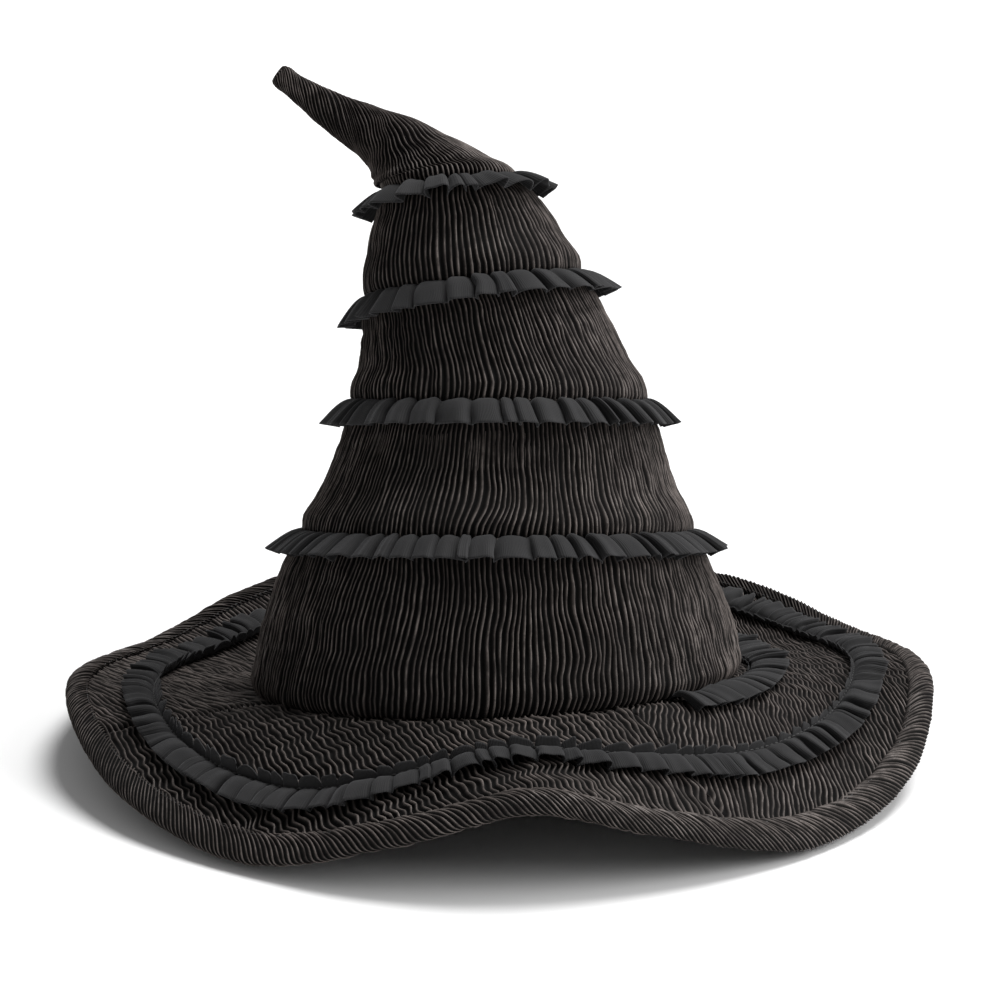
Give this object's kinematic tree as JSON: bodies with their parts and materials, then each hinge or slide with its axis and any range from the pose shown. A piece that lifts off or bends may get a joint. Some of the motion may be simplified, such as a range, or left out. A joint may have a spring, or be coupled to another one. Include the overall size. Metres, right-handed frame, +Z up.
{
  "type": "witch hat",
  "caption": "Tall leaning witch hat of pleated cloth tiers with gathered ruffles, a bendable horn tip and a wide wavy wired brim.",
  "frame": {"origin": "centre of the head opening, in the plane where the crown is sewn to the brim", "axes": "+Z up as the hat stands on a level surface, -Y to the front, +X to the right as the front is faced"},
  "size_m": [0.38, 0.386, 0.29],
  "materials": {
    "pleated_cloth": "black crinkle-pleated cloth with a slight sheen on the pleat ridges",
    "ribbon": "matt dark grey ribbed ribbon, gathered",
    "stiffening": "black millinery buckram",
    "lining": "smooth black lining cloth",
    "wadding": "polyester fibre filling",
    "wire": "bright millinery wire"
  },
  "bodies": {
    "crown": {"crown_tier_1": "pleated_cloth", "crown_ruffle_1": "ribbon", "crown_tier_2": "pleated_cloth", "crown_ruffle_2": "ribbon", "crown_tier_3": "pleated_cloth", "crown_ruffle_3": "ribbon", "crown_tier_4": "pleated_cloth", "crown_ruffle_4": "ribbon", "brim_top_panel_1": "pleated_cloth", "brim_under_panel_1": "pleated_cloth", "brim_top_panel_2": "pleated_cloth", "brim_under_panel_2": "pleated_cloth", "brim_top_panel_3": "pleated_cloth", "brim_under_panel_3": "pleated_cloth", "crown_stiffener": "stiffening", "crown_lining": "lining", "sweatband": "ribbon", "horn_stem": "pleated_cloth", "stem_wadding": "wadding", "brim_stiffener": "stiffening", "brim_ruffle": "ribbon", "brim_wire": "wire", "brim_binding": "pleated_cloth"},
    "tip": {"horn_tip": "pleated_cloth", "tip_wadding": "wadding"}
  },
  "joints": [
    {"name": "tip_bend", "type": "hinge", "parent": "crown", "child": "tip", "pos_m": [-0.04359, 0.0515, 0.22954], "axis": [0, 1, 0], "range_deg": [-20, 40]}
  ]
}
